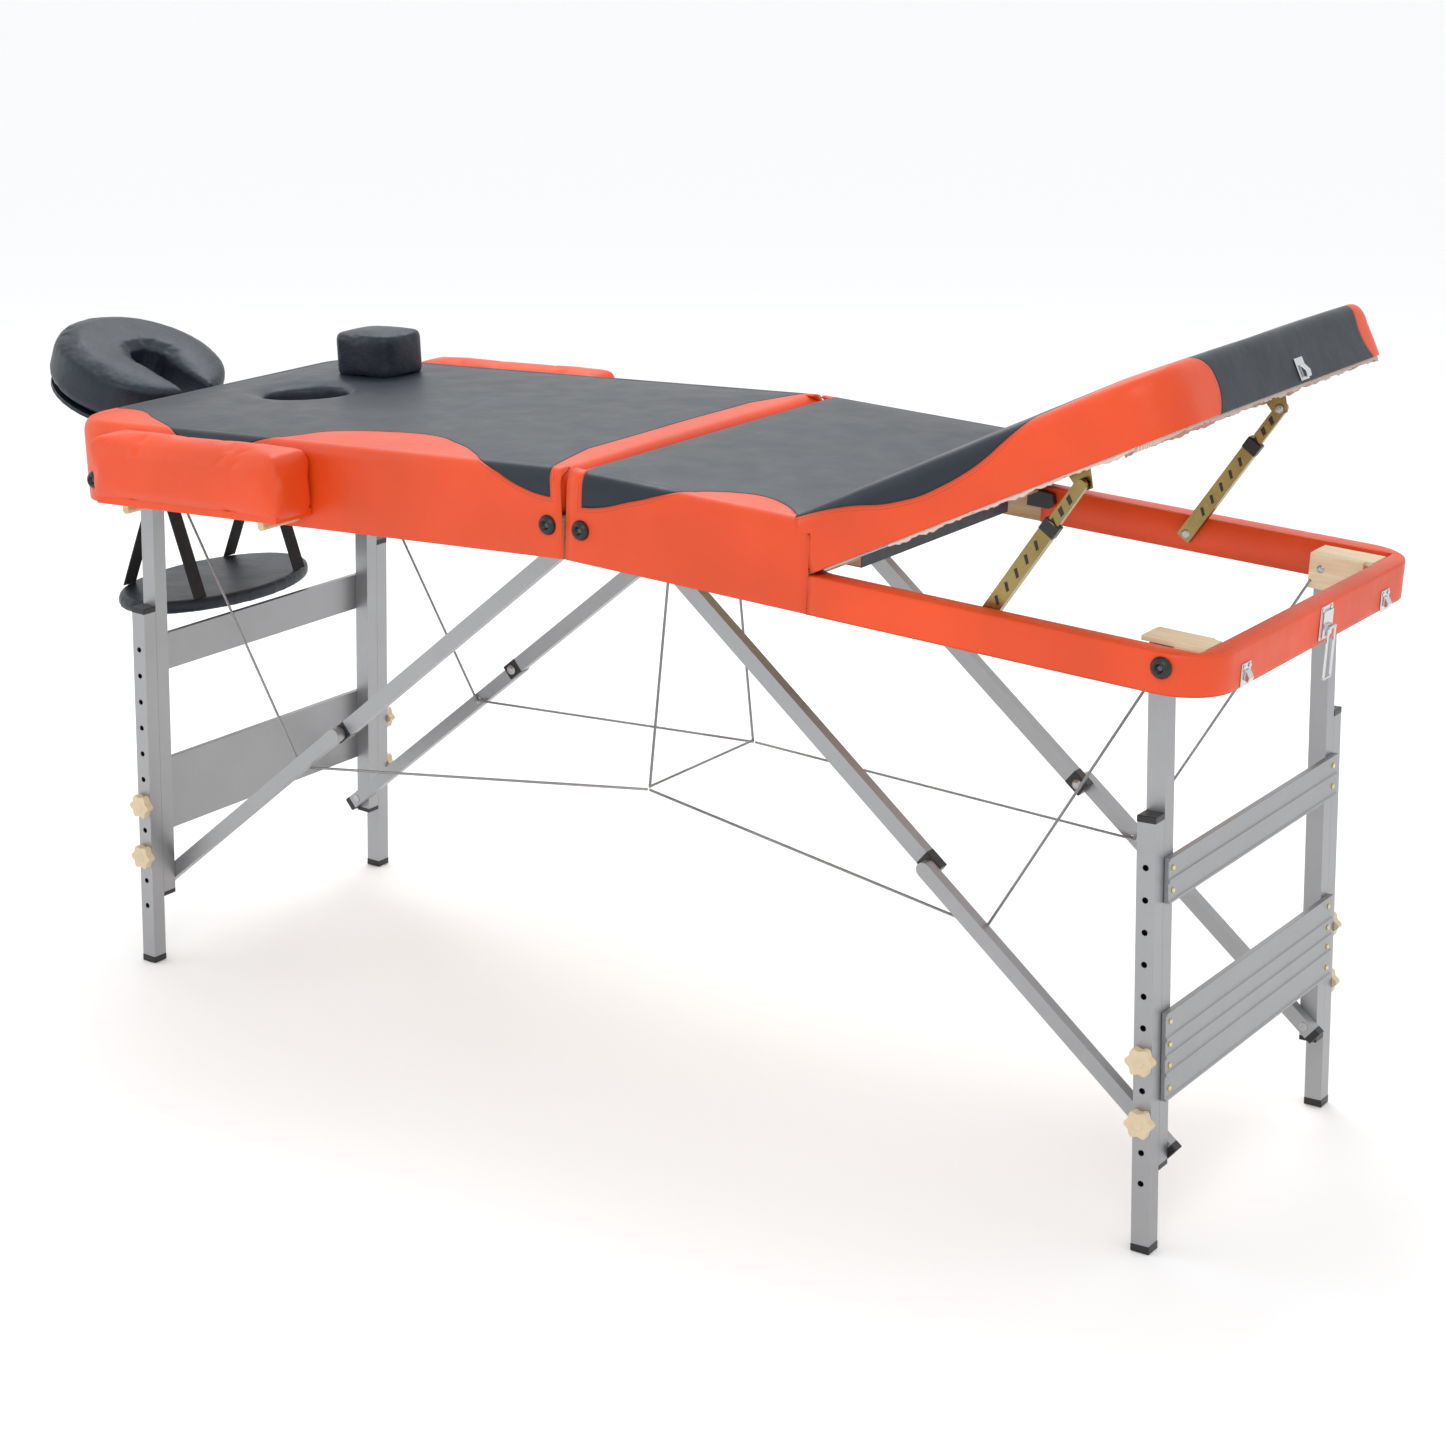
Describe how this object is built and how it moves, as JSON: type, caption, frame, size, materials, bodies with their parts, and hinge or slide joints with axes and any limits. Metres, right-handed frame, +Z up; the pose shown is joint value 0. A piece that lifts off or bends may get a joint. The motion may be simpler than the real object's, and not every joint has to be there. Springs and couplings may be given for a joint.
{
  "type": "massage table",
  "caption": "Portable massage table that folds in half, with a lifting backrest, face hole and plug, horseshoe headrest, armrests, hanging arm shelf and height-adjustable aluminium legs.",
  "frame": {"origin": "on the floor under the middle of the whole table's outline, headrest included", "axes": "+X runs lengthways from the headrest to the foot end, +Y across the table, +Z up"},
  "size_m": [2.1082, 0.778, 1.083],
  "materials": {
    "painted_wood": "beech rails, covered in orange vinyl at the sides",
    "bare_wood": "clear lacquer",
    "plywood": "thin plywood, satin",
    "black_vinyl": "fine-grained synthetic leather over foam",
    "orange_vinyl": "fine-grained synthetic leather over foam",
    "aluminium": "satin anodised",
    "steel": "bright drawn wire",
    "chrome": "polished",
    "zinc_steel": "yellow zinc plating",
    "knob_plastic": "moulded, beige",
    "webbing": "woven webbing"
  },
  "bodies": {
    "head_half": {"head_frame": "painted_wood", "head_deck": "plywood", "head_pad": "black_vinyl", "head_cable_near": "steel", "head_cable_far": "steel"},
    "centre_hinge": {"hinge_pin": "steel", "centre_cable": "steel"},
    "foot_half": {"foot_frame": "painted_wood", "middle_deck": "plywood", "middle_pad": "black_vinyl", "backrest_hinge_pin": "steel", "foot_cable_near": "steel", "foot_cable_far": "steel"},
    "backrest": {"backrest_board": "plywood", "backrest_pad": "black_vinyl"},
    "face_plug": {"face_hole_plug": "black_vinyl"},
    "headrest_fork_slide": {"headrest_fork": "aluminium"},
    "headrest": {"headrest_plate": "plywood", "headrest_cushion": "black_vinyl"},
    "arm_sling": {"arm_shelf": "black_vinyl", "shelf_strap_near": "webbing", "shelf_strap_far": "webbing"},
    "latch_lever_body": {"latch_lever": "chrome"},
    "latch_loop_body": {"latch_loop": "chrome"},
    "head_legs": {"head_upper_leg_near": "aluminium", "head_upper_leg_far": "aluminium", "head_crossbar_upper": "aluminium", "head_crossbar_lower": "aluminium"},
    "head_upper_braces": {"head_upper_brace_near": "aluminium", "head_upper_brace_far": "aluminium"},
    "head_lower_braces": {"head_lower_brace_near": "aluminium", "head_lower_brace_far": "aluminium"},
    "head_leg_extension_near": {"head_lower_leg_near": "aluminium"},
    "head_knob_near_1_body": {"head_knob_near_1": "knob_plastic"},
    "head_knob_near_2_body": {"head_knob_near_2": "knob_plastic"},
    "head_leg_extension_far": {"head_lower_leg_far": "aluminium"},
    "head_knob_far_1_body": {"head_knob_far_1": "knob_plastic"},
    "head_knob_far_2_body": {"head_knob_far_2": "knob_plastic"},
    "foot_legs": {"foot_upper_leg_near": "aluminium", "foot_upper_leg_far": "aluminium", "foot_crossbar_upper": "aluminium", "foot_crossbar_lower": "aluminium"},
    "foot_upper_braces": {"foot_upper_brace_near": "aluminium", "foot_upper_brace_far": "aluminium"},
    "foot_lower_braces": {"foot_lower_brace_near": "aluminium", "foot_lower_brace_far": "aluminium"},
    "foot_leg_extension_near": {"foot_lower_leg_near": "aluminium"},
    "foot_knob_near_1_body": {"foot_knob_near_1": "knob_plastic"},
    "foot_knob_near_2_body": {"foot_knob_near_2": "knob_plastic"},
    "foot_leg_extension_far": {"foot_lower_leg_far": "aluminium"},
    "foot_knob_far_1_body": {"foot_knob_far_1": "knob_plastic"},
    "foot_knob_far_2_body": {"foot_knob_far_2": "knob_plastic"},
    "strut_outer_body_near": {"strut_outer_near": "zinc_steel"},
    "strut_slider_body_near": {"strut_slider_near": "zinc_steel"},
    "strut_outer_body_far": {"strut_outer_far": "zinc_steel"},
    "strut_slider_body_far": {"strut_slider_far": "zinc_steel"},
    "armrest_near": {"armrest_pad_near": "orange_vinyl", "armrest_board_near": "bare_wood"},
    "armrest_far": {"armrest_pad_far": "orange_vinyl", "armrest_board_far": "bare_wood"}
  },
  "joints": [
    {"name": "fold_head_side", "type": "hinge", "parent": "head_half", "child": "centre_hinge", "pos_m": [0.14131, 0, 0.7502], "axis": [0, 1, 0], "range_deg": [0, 87.55], "deforming": ["head_cable_near", "head_cable_far", "centre_cable"]},
    {"name": "fold_foot_side", "type": "hinge", "parent": "centre_hinge", "child": "foot_half", "pos_m": [0.14131, 0, 0.7502], "axis": [0, 1, 0], "range_deg": [0, 87.55], "deforming": ["foot_cable_near", "foot_cable_far"]},
    {"name": "head_legs_fold", "type": "hinge", "parent": "head_half", "child": "head_legs", "pos_m": [-0.66519, 0, 0.74972], "axis": [0, -1, 0], "range_deg": [0, 94.35]},
    {"name": "head_upper_braces_fold", "type": "hinge", "parent": "head_half", "child": "head_upper_braces", "pos_m": [0.11547, 0, 0.78612], "axis": [0, 1, 0], "range_deg": [0, 36.95]},
    {"name": "head_lower_braces_fold", "type": "hinge", "parent": "head_legs", "child": "head_lower_braces", "pos_m": [-0.68581, 0, 0.128], "axis": [0, -1, 0], "range_deg": [0, 48.7]},
    {"name": "head_leg_height_near", "type": "slide", "parent": "head_legs", "child": "head_leg_extension_near", "axis": [0.0332, 0, 0.9995], "range_m": [-0.2412, 0.0804]},
    {"name": "head_knob_near_1_turn", "type": "hinge", "parent": "head_legs", "child": "head_knob_near_1_body", "pos_m": [-0.68171, -0.2762, 0.2518], "axis": [0, -1, 0], "continuous": true},
    {"name": "head_knob_near_2_turn", "type": "hinge", "parent": "head_legs", "child": "head_knob_near_2_body", "pos_m": [-0.68437, -0.2762, 0.1714], "axis": [0, -1, 0], "continuous": true},
    {"name": "head_leg_height_far", "type": "slide", "parent": "head_legs", "child": "head_leg_extension_far", "axis": [0.0332, 0, 0.9995], "range_m": [-0.2412, 0.0804]},
    {"name": "head_knob_far_1_turn", "type": "hinge", "parent": "head_legs", "child": "head_knob_far_1_body", "pos_m": [-0.68171, 0.2762, 0.2518], "axis": [0, 1, 0], "continuous": true},
    {"name": "head_knob_far_2_turn", "type": "hinge", "parent": "head_legs", "child": "head_knob_far_2_body", "pos_m": [-0.68437, 0.2762, 0.1714], "axis": [0, 1, 0], "continuous": true},
    {"name": "foot_legs_fold", "type": "hinge", "parent": "foot_half", "child": "foot_legs", "pos_m": [0.94782, 0, 0.74972], "axis": [0, 1, 0], "range_deg": [0, 94.35]},
    {"name": "foot_upper_braces_fold", "type": "hinge", "parent": "foot_half", "child": "foot_upper_braces", "pos_m": [0.16716, 0, 0.78612], "axis": [0, -1, 0], "range_deg": [0, 36.95]},
    {"name": "foot_lower_braces_fold", "type": "hinge", "parent": "foot_legs", "child": "foot_lower_braces", "pos_m": [0.96844, 0, 0.128], "axis": [0, 1, 0], "range_deg": [0, 48.7]},
    {"name": "foot_leg_height_near", "type": "slide", "parent": "foot_legs", "child": "foot_leg_extension_near", "axis": [-0.0332, 0, 0.9995], "range_m": [-0.2412, 0.0804]},
    {"name": "foot_knob_near_1_turn", "type": "hinge", "parent": "foot_legs", "child": "foot_knob_near_1_body", "pos_m": [0.96434, -0.2762, 0.2518], "axis": [0, -1, 0], "continuous": true},
    {"name": "foot_knob_near_2_turn", "type": "hinge", "parent": "foot_legs", "child": "foot_knob_near_2_body", "pos_m": [0.967, -0.2762, 0.1714], "axis": [0, -1, 0], "continuous": true},
    {"name": "foot_leg_height_far", "type": "slide", "parent": "foot_legs", "child": "foot_leg_extension_far", "axis": [-0.0332, 0, 0.9995], "range_m": [-0.2412, 0.0804]},
    {"name": "foot_knob_far_1_turn", "type": "hinge", "parent": "foot_legs", "child": "foot_knob_far_1_body", "pos_m": [0.96434, 0.2762, 0.2518], "axis": [0, 1, 0], "continuous": true},
    {"name": "foot_knob_far_2_turn", "type": "hinge", "parent": "foot_legs", "child": "foot_knob_far_2_body", "pos_m": [0.967, 0.2762, 0.1714], "axis": [0, 1, 0], "continuous": true},
    {"name": "backrest_tilt", "type": "hinge", "parent": "foot_half", "child": "backrest", "pos_m": [0.51112, 0, 0.78942], "axis": [0, 1, 0], "range_deg": [-6, 28.5]},
    {"name": "strut_swing_near", "type": "hinge", "parent": "foot_half", "child": "strut_outer_body_near", "pos_m": [0.73184, -0.27675, 0.75496], "axis": [0, 1, 0], "range_deg": [-12, 56]},
    {"name": "strut_extend_near", "type": "slide", "parent": "strut_outer_body_near", "child": "strut_slider_body_near", "axis": [-0.561, 0, -0.8278], "range_m": [-0.0145, 0.0675]},
    {"name": "strut_swing_far", "type": "hinge", "parent": "foot_half", "child": "strut_outer_body_far", "pos_m": [0.73184, 0.27675, 0.75496], "axis": [0, 1, 0], "range_deg": [-12, 56]},
    {"name": "strut_extend_far", "type": "slide", "parent": "strut_outer_body_far", "child": "strut_slider_body_far", "axis": [-0.561, 0, -0.8278], "range_m": [-0.0145, 0.0675]},
    {"name": "headrest_reach", "type": "slide", "parent": "head_half", "child": "headrest_fork_slide", "axis": [-0.9991, 0, -0.0427], "range_m": [0, 0.09]},
    {"name": "headrest_tilt", "type": "hinge", "parent": "headrest_fork_slide", "child": "headrest", "pos_m": [-0.80893, 0, 0.74057], "axis": [0, -1, 0], "range_deg": [-3, 35]},
    {"name": "plug_lift", "type": "slide", "parent": "head_half", "child": "face_plug", "axis": [-0.0427, 0, 0.9991], "range_m": [0, 0.06]},
    {"name": "armrest_pull_near", "type": "slide", "parent": "head_half", "child": "armrest_near", "axis": [0, -1, 0], "range_m": [0, 0.06]},
    {"name": "armrest_pull_far", "type": "slide", "parent": "head_half", "child": "armrest_far", "axis": [0, 1, 0], "range_m": [0, 0.06]},
    {"name": "arm_sling_swing", "type": "hinge", "parent": "head_half", "child": "arm_sling", "pos_m": [-0.77068, 0, 0.725], "axis": [0, 1, 0], "range_deg": [0, 60]},
    {"name": "latch_lever_turn", "type": "hinge", "parent": "foot_half", "child": "latch_lever_body", "pos_m": [1.04641, 0, 0.75451], "axis": [0, -1, 0], "range_deg": [0, 100]},
    {"name": "latch_loop_swing", "type": "hinge", "parent": "latch_lever_body", "child": "latch_loop_body", "pos_m": [1.05214, 0, 0.73625], "axis": [0, -1, 0], "range_deg": [0, 60]}
  ],
  "couplings": [
    {"joint": "head_legs_fold", "follows": "fold_head_side", "ratio": 1.0777},
    {"joint": "head_upper_braces_fold", "follows": "fold_head_side", "ratio": 0.42202},
    {"joint": "head_lower_braces_fold", "follows": "fold_head_side", "ratio": 0.55628},
    {"joint": "foot_legs_fold", "follows": "fold_foot_side", "ratio": 1.0777},
    {"joint": "foot_upper_braces_fold", "follows": "fold_foot_side", "ratio": 0.42202},
    {"joint": "foot_lower_braces_fold", "follows": "fold_foot_side", "ratio": 0.55628},
    {"joint": "strut_swing_near", "follows": "backrest_tilt", "ratio": 1.954},
    {"joint": "strut_extend_near", "follows": "backrest_tilt", "m_per_rad": 0.135},
    {"joint": "strut_swing_far", "follows": "backrest_tilt", "ratio": 1.954},
    {"joint": "strut_extend_far", "follows": "backrest_tilt", "m_per_rad": 0.135}
  ]
}
